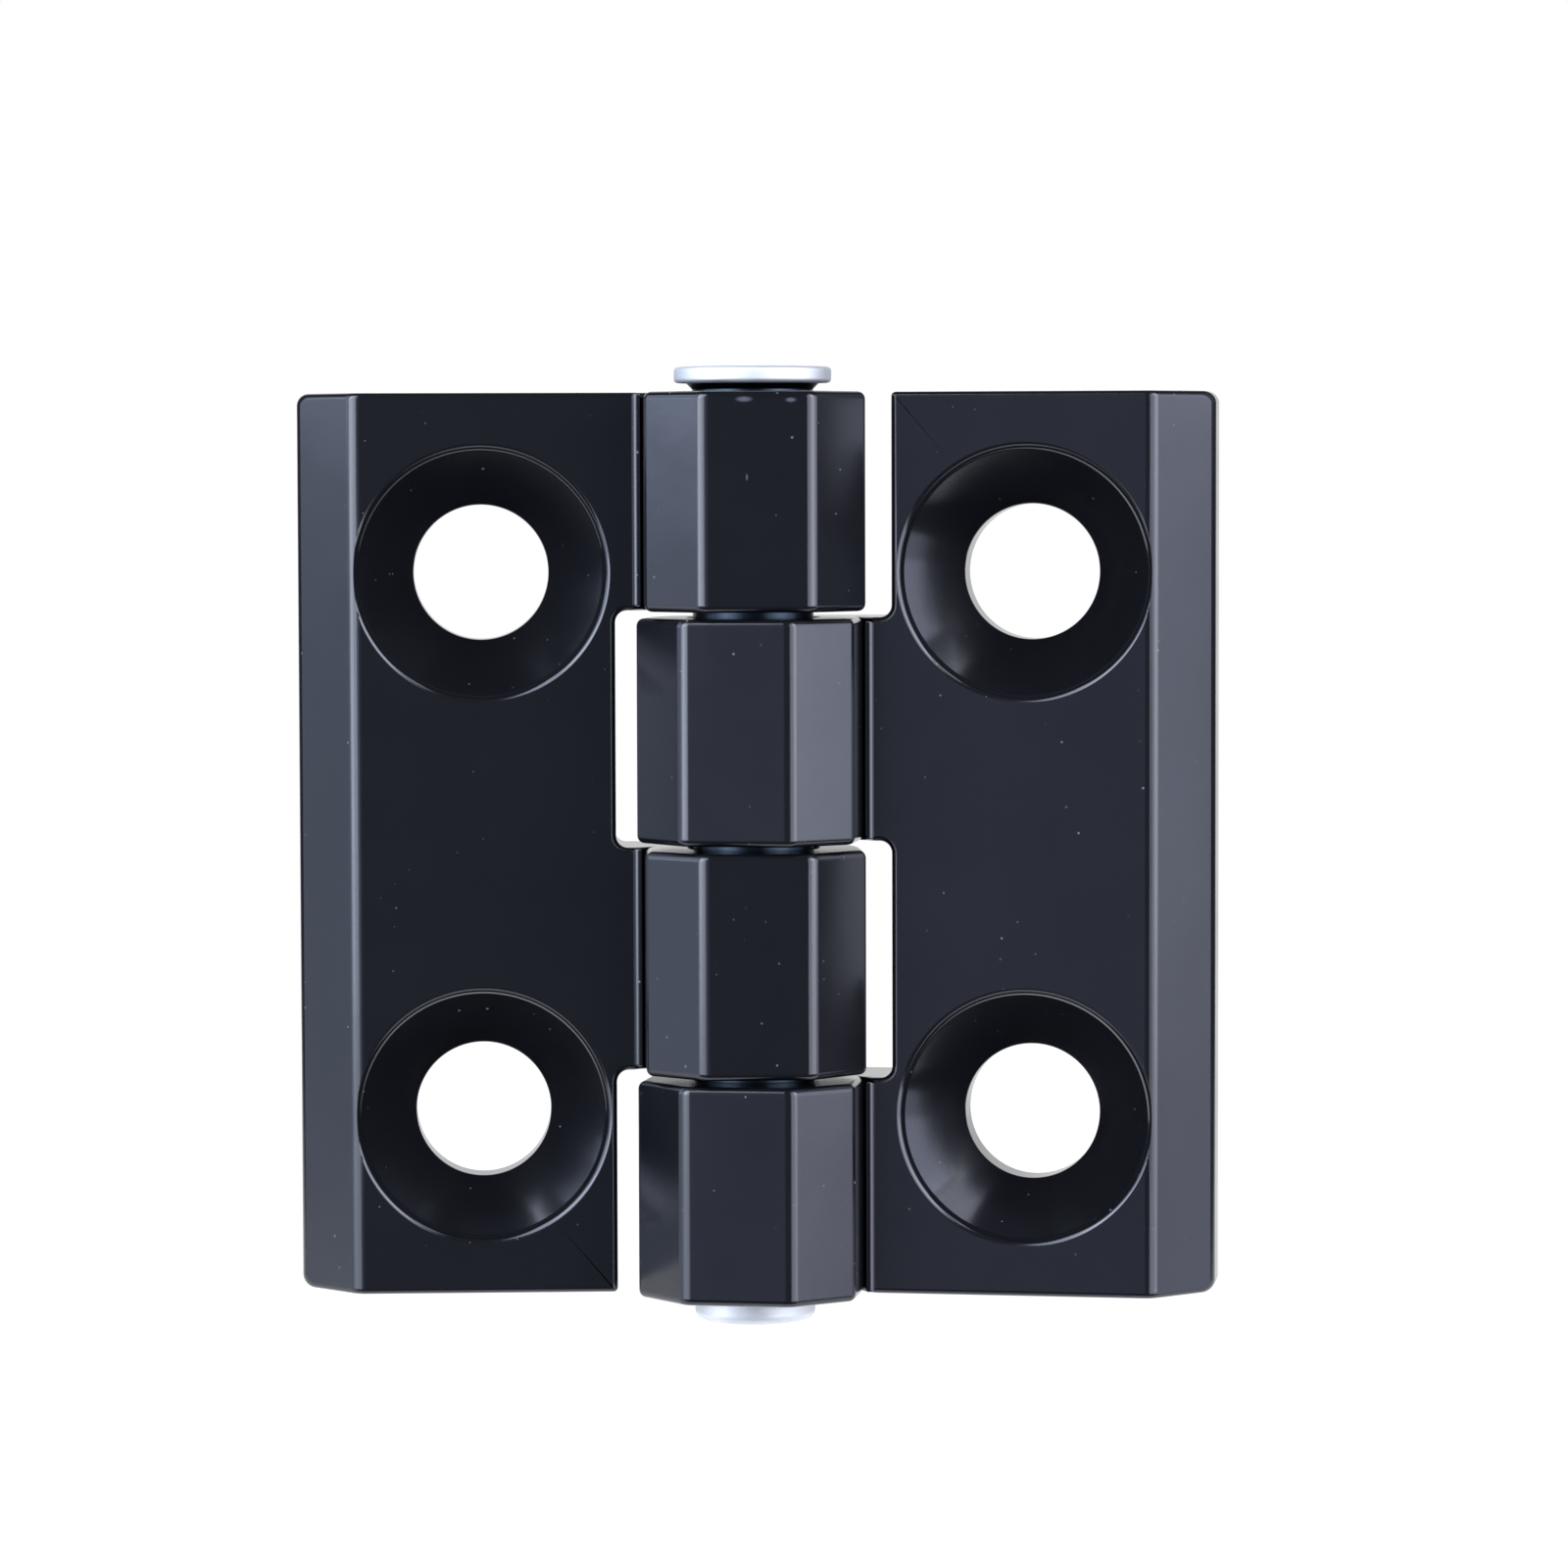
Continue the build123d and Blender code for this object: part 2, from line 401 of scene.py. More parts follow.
class Casting:
    """The die-cast leaf, which serves both sides of the hinge."""

    # How nearly a face lies flat, and how near zero a direction or a place counts as zero.
    FLAT = 0.99
    NEARLY_ZERO = 0.01
    # How far a cutter runs past the casting, and how steeply the countersink's cutter leaves its rim.
    PAST = 2.0
    RIM_RUNOUT = 0.1
    # How many strips each kind of rounding gets, and how many sides a turned cutter has.
    BARREL_STEPS = 24
    BEAD_STEPS = 10
    CORNER_STEPS = 8
    RIDGE_STEPS = 6
    SIDE_STEPS = 5
    RIM_STEPS = 4
    BEAD_EDGE_STEPS = 3
    FINE_STEPS = 2
    RING_STEPS = 128

    def __init__(self, sizes: CastingSizes, radii: Roundings) -> None:
        """Takes the sizes that the casting is made to."""
        self.sizes = sizes
        self.radii = radii

    def is_across(self, normal: Vector) -> bool:
        """Tells whether a face belongs to the outer wall, corners, ends or notch walls of the plate."""
        return abs(normal.y) < self.NEARLY_ZERO

    def is_back(self, normal: Vector) -> bool:
        """Tells whether a face belongs to the flat back."""
        return normal.y > self.FLAT

    def is_inner_end(self, edge: EdgeFacts) -> bool:
        """Tells whether an edge lies on the plate's hidden end at the pin axis."""
        return min(edge.start.x, edge.end.x) > -self.NEARLY_ZERO

    def is_front_rim(self, edge: EdgeFacts) -> bool:
        """Tells whether an edge runs between the plate's walls and its front."""
        across = [self.is_across(normal) for normal in edge.normals]
        back = any(self.is_back(normal) for normal in edge.normals)
        return across[0] != across[1] and not (back or self.is_inner_end(edge))

    def is_back_rim(self, edge: EdgeFacts) -> bool:
        """Tells whether an edge goes round the flat back."""
        back = [self.is_back(normal) for normal in edge.normals]
        return back[0] != back[1] and not self.is_inner_end(edge)

    def notch(self, bottom: float, top: float) -> Workpiece:
        """Makes the cutter that clears the plate for a knuckle of the other leaf.

        Args:
            bottom: Where the notch starts on Z.
            top: Where it ends.

        Returns:
            The cutter, with rounded inner corners.
        """
        s = self.sizes
        past = s.axis_height + self.PAST
        cutter = Workpiece.block((-s.notch_reach, -past, bottom), (s.half_knuckle, past, top))
        for z in (bottom, top):
            if abs(z) < s.half_length:
                cutter.soften(crosswise_at(-s.notch_reach, z), self.radii.notch_corner, self.CORNER_STEPS)
        return cutter

    def plate(self) -> Workpiece:
        """Makes the plate with its sloped outer edge, root groove, notches and softened rims."""
        s, r = self.sizes, self.radii
        ridge = -s.reach + s.slope_width
        root = -s.half_knuckle - s.groove_width
        groove_fall = s.thickness - s.root_height
        plate = Workpiece.block((-s.reach, s.face, -s.half_length), (0, s.axis_height, s.half_length))
        for z in (-s.half_length, s.half_length):
            plate.soften(crosswise_at(-s.reach, z), r.outer_corner, self.CORNER_STEPS)
        plate.slice((ridge, s.face, 0), (-s.slope_depth, -s.slope_width, 0))
        plate.slice((root, s.face, 0), (groove_fall, root, 0))
        plate.soften(upright_at(ridge, s.face), r.ridge, self.RIDGE_STEPS)
        plate.soften(upright_at(root, s.face), r.root, self.SIDE_STEPS)
        (end_bottom, _), (inner_bottom, inner_top) = s.spans
        plate.combine(self.notch(inner_top, end_bottom), Cut.TAKE_AWAY)
        plate.combine(self.notch(-s.half_length - self.PAST, inner_bottom), Cut.TAKE_AWAY)
        plate.close_up()
        plate.soften(crosswise_at(-s.notch_reach, -s.half_length), r.free_corner, self.RIM_STEPS)
        rims = plate.soften(self.is_front_rim, r.rim, self.RIM_STEPS)
        back_rims = plate.soften(self.is_back_rim, r.back_rim, self.FINE_STEPS)
        log.info("plate: %d front and %d back rim edges rounded", rims, back_rims)
        return plate

    def knuckle(self, bottom: float, top: float) -> Workpiece:
        """Makes one knuckle: three facets in front, side walls and a round barrel behind.

        Args:
            bottom: Where the knuckle starts on Z.
            top: Where it ends.

        Returns:
            The knuckle before its bore.
        """
        s, r = self.sizes, self.radii
        shoulder = -s.knuckle_front + s.facet_depth
        facet_width = s.half_knuckle - s.knuckle_flat / 2
        low = (-s.half_knuckle, -s.knuckle_front, bottom)
        knuckle = Workpiece.block(low, (s.half_knuckle, s.half_knuckle, top))
        for side in (-1, 1):
            wall = side * s.half_knuckle
            knuckle.slice((wall, shoulder, 0), (side * s.facet_depth, -facet_width, 0))
            ridge = upright_at(side * s.knuckle_flat / 2, -s.knuckle_front)
            knuckle.soften(ridge, r.knuckle_ridge, self.RIDGE_STEPS)
            knuckle.soften(upright_at(wall, shoulder), r.knuckle_side, self.SIDE_STEPS)
            knuckle.soften(upright_at(wall, s.half_knuckle), s.half_knuckle, self.BARREL_STEPS)
        knuckle.close_up()
        knuckle.soften(self.is_knuckle_end, r.knuckle_end, self.RIM_STEPS)
        return knuckle

    def bead(self, bottom: float, top: float) -> Workpiece:
        """Makes the low bead that runs along the plate beside one knuckle, over the root groove.

        Args:
            bottom: Where the knuckle starts on Z.
            top: Where it ends.

        Returns:
            The bead, round towards the plate and deep enough to stand in it.
        """
        s, r = self.sizes, self.radii
        inner = -s.half_knuckle - s.bead_start
        outer = inner - s.bead_width
        front = s.face - s.bead_height
        low = (outer, front, bottom + s.bead_short)
        bead = Workpiece.block(low, (inner, s.face + 2 * s.bead_height, top - r.bead_edge))
        bead.soften(upright_at(outer, front), r.bead_front, self.BEAD_STEPS)
        bead.soften(upright_at(inner, front), r.bead_edge, self.BEAD_EDGE_STEPS)
        bead.close_up()
        bead.soften(self.is_knuckle_end, r.bead_edge, self.FINE_STEPS)
        return bead

    def is_knuckle_end(self, edge: EdgeFacts) -> bool:
        """Tells whether an edge goes round a flat end of a knuckle or bead."""
        level = [abs(normal.z) > self.FLAT for normal in edge.normals]
        return level[0] != level[1]

    def bore(self, bottom: float, top: float) -> Workpiece:
        """Makes the cutter for the pin bore through one knuckle, with a chamfer at each mouth."""
        s = self.sizes
        wide = s.bore_radius + s.bore_chamfer + self.PAST
        profile = (
            (wide, bottom - self.PAST),
            (s.bore_radius, bottom + s.bore_chamfer),
            (s.bore_radius, top - s.bore_chamfer),
            (wide, top + self.PAST),
        )
        return Workpiece.turned(profile, self.RING_STEPS)

    def countersunk_hole(self, height: float) -> Workpiece:
        """Makes the cutter for one screw hole: a short steep land, a cone and softened rims."""
        s, r = self.sizes, self.radii
        hole = s.hole_diameter / 2
        mouth = s.countersink_diameter / 2
        seat = mouth - s.land_width
        cone_depth = (seat - hole) / math.tan(math.radians(s.countersink_degrees / 2))
        corners = (
            (hole, s.thickness + self.PAST, 0),
            (hole, s.land_depth + cone_depth, r.hole_rim),
            (seat, s.land_depth, r.countersink_seat),
            (mouth, 0, r.countersink_rim),
            (mouth + self.PAST, -self.PAST * self.RIM_RUNOUT, 0),
            (mouth + self.PAST, -self.PAST, 0),
        )
        cutter = Workpiece.turned(rounded(corners, self.RIDGE_STEPS), self.RING_STEPS)
        place = Matrix.Translation((-s.hole_to_pin, s.face, height))
        cutter.move(place @ Matrix.Rotation(math.radians(-90), 4, "X"))
        return cutter

    def build(self) -> Workpiece:
        """Makes the whole casting in its own place.

        Returns:
            The casting in millimetres.
        """
        casting = self.plate()
        for height in (-self.sizes.hole_pitch / 2, self.sizes.hole_pitch / 2):
            casting.combine(self.countersunk_hole(height), Cut.TAKE_AWAY)
        for bottom, top in self.sizes.spans:
            casting.combine(self.knuckle(bottom, top), Cut.FUSE)
            casting.combine(self.bead(bottom, top), Cut.FUSE)
        for bottom, top in self.sizes.spans:
            casting.combine(self.bore(bottom, top), Cut.TAKE_AWAY)
        casting.close_up()
        return casting


@dataclass(frozen=True)
class Turning:
    """Driving sizes of the turned pin, in millimetres."""

    # How many strips a rounding gets, and how many sides the pin has.
    ROUND_STEPS = 8
    RING_STEPS = 128

    shank_radius: float
    head_radius: float
    head_bottom: float
    head_top: float
    tail_end: float
    neck: float = 0.4
    neck_round: float = 0.15
    head_round: float = 0.28
    tail_round: float = 0.6

    def build(self) -> Workpiece:
        """Turns the pin about Z, from its rounded tail over the cone neck to its flat head."""
        core = self.shank_radius / 2
        corners = (
            (core, self.tail_end, 0),
            (self.shank_radius, self.tail_end, self.tail_round),
            (self.shank_radius, self.head_bottom - self.neck, self.neck_round),
            (self.shank_radius + self.neck, self.head_bottom, 0),
            (self.head_radius, self.head_bottom, self.head_round),
            (self.head_radius, self.head_top, self.head_round),
            (core, self.head_top, 0),
        )
        return Workpiece.turned(rounded(corners, self.ROUND_STEPS), self.RING_STEPS)


def linear(hex_colour: str) -> tuple[float, float, float, float]:
    """Turns an sRGB colour such as "#20262e" into linear red, green, blue and alpha."""
    values = []
    for start in (1, 3, 5):
        share = int(hex_colour[start:start + 2], 16) / 255
        values.append(share / 12.92 if share <= 0.04045 else ((share + 0.055) / 1.055) ** 2.4)
    return (*values, 1.0)


def per_metre(size_mm: float) -> float:
    """Gives the texture scale at which a pattern repeats about every so many millimetres."""
    return 1 / (size_mm * MM)


def node(tree: bpy.types.NodeTree, kind: str, settings: dict | None = None,
         inputs: dict | None = None) -> bpy.types.Node:
    """Adds a node with its settings and links.

    Args:
        tree: The material's node tree.
        kind: The node's type name, such as "ShaderNodeTexNoise".
        settings: Attributes of the node and their values.
        inputs: Values for its inputs by name or number. An output socket is linked.

    Returns:
        The new node.
    """
    made = tree.nodes.new(kind)
    for name, value in (settings or {}).items():
        setattr(made, name, value)
    for name, value in (inputs or {}).items():
        if isinstance(value, bpy.types.NodeSocket):
            tree.links.new(value, made.inputs[name])
        else:
            made.inputs[name].default_value = value
    return made


def new_material(name: str) -> tuple[bpy.types.Material, bpy.types.NodeTree]:
    """Returns a new material with an empty node tree."""
    material = bpy.data.materials.new(name)
    material.use_nodes = True
    material.node_tree.nodes.clear()
    return material, material.node_tree


def put_out(tree: bpy.types.NodeTree, shader: bpy.types.Node) -> None:
    """Links a shader to the material's surface."""
    node(tree, "ShaderNodeOutputMaterial", None, {"Surface": shader.outputs[0]})


@dataclass(frozen=True)
class PowderCoat:
    """Black polyester powder coat, sprayed dry on a zinc die-casting and baked.

    It gives the eye a deep satin black with a faint orange peel, soft waves from the casting
    under it, and the odd grain of dust and hair scratch. A few light marks on the top knuckle's
    front are painted highlights, where small dents shine.
    """

    black: str = "#0e0f13"
    black_high: str = "#121317"
    dust: str = "#777a85"
    painted_shine: str = "#565a64"
    roughness_low: float = 0.14
    roughness_high: float = 0.18
    dust_roughness: float = 0.5
    sheen_tint: str = "#edf3ff"
    index: float = 1.7
    cloud_mm: float = 7.0
    cloud_span: Point2 = (0.3, 0.7)
    peel_mm: float = 1.3
    peel_height_mm: float = 0.004
    wave_mm: float = 9.0
    wave_height_mm: float = 0.05
    speck_cell_mm: float = 1.0
    speck_radius_mm: float = 0.085
    speck_share: float = 0.5
    hair_cell_mm: float = 1.3
    hair_radius_mm: float = 0.045
    hair_share: float = 0.12
    # How the hairs lean, in radians, and how far their cells are squeezed to draw them long.
    hair_lean: Point3 = (0.2, 0.25, 0.1)
    hair_stretch: Point3 = (1.0, 1.0, 0.22)
    # The smallest spot and the clear middle of a spot, as shares of the usual radius.
    spot_smallest: float = 0.6
    spot_middle: float = 0.3
    # A higher power leaves fewer spots clear.
    spot_fading: float = 2.0
    # Painted highlights where small dents on the top knuckle's front shine: the middle,
    # measured from the pin axis, and half the size each way, in millimetres.
    shine_spots: tuple[tuple[Point3, Point3], ...] = (
        ((-0.84, -6.9, 29.35), (0.7, 1.0, 0.24)),
        ((2.2, -6.9, 29.3), (0.45, 1.0, 0.2)),
        ((-0.66, -6.9, 24.3), (0.09, 1.0, 0.3)),
    )

    def build(self, axis: Vector) -> bpy.types.Material:
        """Builds the material on object coordinates.

        Args:
            axis: A point on the pin's axis, in millimetres, from which the painted highlights are placed.

        Returns:
            The material.
        """
        material, tree = new_material("black_powder_coat")
        place = node(tree, "ShaderNodeTexCoord").outputs["Object"]
        cloud = node(tree, "ShaderNodeTexNoise", None,
                     {"Vector": place, "Scale": per_metre(self.cloud_mm), "Detail": 3.0}).outputs["Fac"]
        coat = node(tree, "ShaderNodeMix", {"data_type": "RGBA"},
                    {0: cloud, 6: linear(self.black), 7: linear(self.black_high)}).outputs[2]
        dust = self.dust_mask(tree, place)
        colour = node(tree, "ShaderNodeMix", {"data_type": "RGBA"},
                      {0: dust, 6: coat, 7: linear(self.dust)}).outputs[2]
        # Lighter marks on the top knuckle, painted in as highlights where small dents shine.
        for centre, reach in self.shine_spots:
            shine = self.shine_mask(tree, place, (Vector(centre) + axis) * MM, Vector(reach) * MM)
            colour = node(tree, "ShaderNodeMix", {"data_type": "RGBA"},
                          {0: shine, 6: colour, 7: linear(self.painted_shine)}).outputs[2]
        sheen = node(tree, "ShaderNodeMapRange", None,
                     {"Value": cloud, "From Min": self.cloud_span[0], "From Max": self.cloud_span[1],
                      "To Min": self.roughness_low, "To Max": self.roughness_high}).outputs[0]
        roughness = node(tree, "ShaderNodeMath", {"operation": "MULTIPLY_ADD"},
                         {0: dust, 1: self.dust_roughness, 2: sheen}).outputs[0]
        wave = node(tree, "ShaderNodeTexNoise", None,
                    {"Vector": place, "Scale": per_metre(self.wave_mm), "Detail": 1.0}).outputs["Fac"]
        peel = node(tree, "ShaderNodeTexNoise", None,
                    {"Vector": place, "Scale": per_metre(self.peel_mm), "Detail": 2.0}).outputs["Fac"]
        swell = node(tree, "ShaderNodeBump", None,
                     {"Height": wave, "Distance": self.wave_height_mm * MM, "Strength": 1.0})
        skin = node(tree, "ShaderNodeBump", None,
                    {"Height": peel, "Distance": self.peel_height_mm * MM, "Strength": 1.0,
                     "Normal": swell.outputs[0]})
        shader = node(tree, "ShaderNodeBsdfPrincipled", None,
                      {"Base Color": colour, "Roughness": roughness, "IOR": self.index,
                       "Specular Tint": linear(self.sheen_tint), "Normal": skin.outputs[0]})
        put_out(tree, shader)
        return material

    def shine_mask(self, tree: bpy.types.NodeTree, place: bpy.types.NodeSocket, centre: Vector,
                 reach: Vector) -> bpy.types.NodeSocket:
        """Adds one small painted highlight, where a dent shines.

        Args:
            tree: The material's node tree.
            place: The object coordinates.
            centre: The spot's middle, in metres.
            reach: Half its size each way, in metres.

        Returns:
            A value that is 1 in the middle of the spot and fades to 0 at its edge.
        """
        away = node(tree, "ShaderNodeVectorMath", {"operation": "SUBTRACT"}, {0: place, 1: centre})
        scaled = node(tree, "ShaderNodeVectorMath", {"operation": "DIVIDE"},
                      {0: away.outputs[0], 1: reach})
        length = node(tree, "ShaderNodeVectorMath", {"operation": "LENGTH"}, {0: scaled.outputs[0]})
        return node(tree, "ShaderNodeMapRange", {"interpolation_type": "SMOOTHSTEP"},
                    {"Value": length.outputs["Value"], "From Min": 1.0, "From Max": 0.2,
                     "To Min": 0.0, "To Max": 1.0}).outputs[0]

    def dust_mask(self, tree: bpy.types.NodeTree, place: bpy.types.NodeSocket) -> bpy.types.NodeSocket:
        """Adds round grains of dust and short hair scratches.

        Args:
            tree: The material's node tree.
            place: The object coordinates.

        Returns:
            A value that is 1 on a grain or a scratch and 0 elsewhere.
        """
        grains = self.spots(tree, place, self.speck_cell_mm, self.speck_radius_mm, self.speck_share)
        lean = node(tree, "ShaderNodeMapping", None,
                    {"Vector": place, "Rotation": self.hair_lean, "Scale": self.hair_stretch}).outputs[0]
        hairs = self.spots(tree, lean, self.hair_cell_mm, self.hair_radius_mm, self.hair_share)
        return node(tree, "ShaderNodeMath", {"operation": "MAXIMUM"}, {0: grains, 1: hairs}).outputs[0]

    def spots(self, tree: bpy.types.NodeTree, place: bpy.types.NodeSocket, cell_mm: float,
              radius_mm: float, share: float) -> bpy.types.NodeSocket:
        """Adds one spot in some cells of a Voronoi pattern, some faint and some clear.

        Args:
            tree: The material's node tree.
            place: The coordinates to use.
            cell_mm: The size of a cell.
            radius_mm: The usual radius of a spot.
            share: How many cells in all have a spot.

        Returns:
            The mask of the spots.
        """
        radius = radius_mm / cell_mm
        cells = node(tree, "ShaderNodeTexVoronoi", None,
                     {"Vector": place, "Scale": per_metre(cell_mm), "Randomness": 1.0})
        draw = node(tree, "ShaderNodeSeparateColor", None, {0: cells.outputs["Color"]})
        kept = node(tree, "ShaderNodeMath", {"operation": "LESS_THAN"}, {0: draw.outputs[0], 1: share})
        size = node(tree, "ShaderNodeMath", {"operation": "MULTIPLY_ADD"},
                    {0: draw.outputs[1], 1: radius, 2: radius * self.spot_smallest})
        spot = node(tree, "ShaderNodeMapRange", {"interpolation_type": "SMOOTHSTEP"},
                    {"Value": cells.outputs["Distance"], "From Min": size.outputs[0],
                     "From Max": radius * self.spot_middle, "To Min": 0.0, "To Max": 1.0})
        clear = node(tree, "ShaderNodeMath", {"operation": "POWER"},
                     {0: draw.outputs[2], 1: self.spot_fading})
        shown = node(tree, "ShaderNodeMath", {"operation": "MULTIPLY"},
                     {0: spot.outputs[0], 1: kept.outputs[0]})
        return node(tree, "ShaderNodeMath", {"operation": "MULTIPLY"},
                    {0: shown.outputs[0], 1: clear.outputs[0]}).outputs[0]


@dataclass(frozen=True)
class ZincPlate:
    """Turned steel with bright zinc plating.

    It gives the eye a pale, slightly blue metal with fine rings from the turning tool
    and the soft cloudiness of the plating. The neck under the head and the shank between
    the knuckles are painted dark as shade, for the shadow they lie in and the black knuckles they mirror.
    """

    bright: str = "#f4f7fa"
    cloudy: str = "#dde4ea"
    roughness_low: float = 0.55
    roughness_high: float = 0.7
    # Painted shade for the neck and the shank between the knuckles, which lie in shade and mirror the
    # black knuckles.
    painted_shade: str = "#39444f"
    painted_shade_roughness: float = 0.32
    cloud_span: Point2 = (0.3, 0.7)
    # Real turning marks are finer than this and wouldn't show.
    ring_mm: float = 0.2
    ring_height_mm: float = 0.0015
    cloud_mm: float = 2.2

    def build(self, axis: Point3, shade_from: float, shade_to: float) -> bpy.types.Material:
        """Builds the material.

        Args:
            axis: A point on the pin's axis, in metres.
            shade_from: Where the painted shade on the shank, which runs in the knuckles, starts on Z, in
                metres.
            shade_to: Where it ends.

        Returns:
            The material, whose rings run round the axis.
        """
        material, tree = new_material("bright_zinc_plate")
        place = node(tree, "ShaderNodeTexCoord").outputs["Object"]
        centred = node(tree, "ShaderNodeVectorMath", {"operation": "SUBTRACT"}, {0: place, 1: axis})
        parts = node(tree, "ShaderNodeSeparateXYZ", None, {0: centred.outputs[0]})
        flat = node(tree, "ShaderNodeCombineXYZ", None, {0: parts.outputs[0], 1: parts.outputs[1]})
        radius = node(tree, "ShaderNodeVectorMath", {"operation": "LENGTH"}, {0: flat.outputs[0]})
        lathe = node(tree, "ShaderNodeCombineXYZ", None,
                     {0: radius.outputs["Value"], 1: parts.outputs[2]})
        rings = node(tree, "ShaderNodeTexNoise", None,
                     {"Vector": lathe.outputs[0], "Scale": per_metre(self.ring_mm), "Detail": 2.0})
        cloud = node(tree, "ShaderNodeTexNoise", None,
                     {"Vector": place, "Scale": per_metre(self.cloud_mm), "Detail": 4.0}).outputs["Fac"]
        colour = node(tree, "ShaderNodeMix", {"data_type": "RGBA"},
                      {0: cloud, 6: linear(self.bright), 7: linear(self.cloudy)}).outputs[2]
        roughness = node(tree, "ShaderNodeMapRange", None,
                         {"Value": cloud, "From Min": self.cloud_span[0], "From Max": self.cloud_span[1],
                          "To Min": self.roughness_low, "To Max": self.roughness_high}).outputs[0]
        # The neck and the shank between the knuckles are coloured dark: painted shade.
        painted_shade = self.band(tree, parts.outputs[2], shade_from, shade_to)
        colour = node(tree, "ShaderNodeMix", {"data_type": "RGBA"},
                      {0: painted_shade, 6: colour, 7: linear(self.painted_shade)}).outputs[2]
        roughness = node(tree, "ShaderNodeMix", None,
                         {0: painted_shade, 2: roughness, 3: self.painted_shade_roughness}).outputs[0]
        marks = node(tree, "ShaderNodeBump", None,
                     {"Height": rings.outputs["Fac"], "Distance": self.ring_height_mm * MM,
                      "Strength": 1.0})
        shader = node(tree, "ShaderNodeBsdfPrincipled", None,
                      {"Base Color": colour, "Metallic": 1.0, "Roughness": roughness,
                       "Normal": marks.outputs[0]})
        put_out(tree, shader)
        return material

    def band(self, tree: bpy.types.NodeTree, height: bpy.types.NodeSocket, start: float,
             end: float) -> bpy.types.NodeSocket:
        """Adds a value that is 1 between two heights in metres and 0 elsewhere."""
        above = node(tree, "ShaderNodeMath", {"operation": "GREATER_THAN"}, {0: height, 1: start})
        below = node(tree, "ShaderNodeMath", {"operation": "LESS_THAN"}, {0: height, 1: end})
        return node(tree, "ShaderNodeMath", {"operation": "MULTIPLY"},
                    {0: above.outputs[0], 1: below.outputs[0]}).outputs[0]


@dataclass(frozen=True)
class StudioWhite:
    """Matt white studio surface that the camera and reflections see as plain white.

    Args:
        name: The material's name.
        shadow_share: How much of the real shading and its shadows still shows.
        glow: How bright its own white is, which with the share of the shading makes white.
    """

    name: str
    shadow_share: float
    glow: float
    paint: str = "#f0f0f0"
    white: str = "#ffffff"

    def build(self) -> bpy.types.Material:
        """Builds the material."""
        material, tree = new_material(self.name)
        matt = node(tree, "ShaderNodeBsdfDiffuse", None, {"Color": linear(self.paint)})
        glow = node(tree, "ShaderNodeEmission", None,
                    {"Color": linear(self.white), "Strength": self.glow})
        seen = seen_ray(tree, ("Is Camera Ray", "Is Glossy Ray", "Is Transmission Ray"))
        share = node(tree, "ShaderNodeMath", {"operation": "MULTIPLY"},
                     {0: seen, 1: 1 - self.shadow_share})
        mix = node(tree, "ShaderNodeMixShader", None,
                   {0: share.outputs[0], 1: matt.outputs[0], 2: glow.outputs[0]})
        put_out(tree, mix)
        return material


def seen_ray(tree: bpy.types.NodeTree, kinds: Sequence[str]) -> bpy.types.NodeSocket:
    """Returns a value that is 1 for rays of any of the given Light Path kinds."""
    path = node(tree, "ShaderNodeLightPath")
    total = path.outputs[kinds[0]]
    for kind in kinds[1:]:
        total = node(tree, "ShaderNodeMath", {"operation": "MAXIMUM"},
                     {0: total, 1: path.outputs[kind]}).outputs[0]
    return total


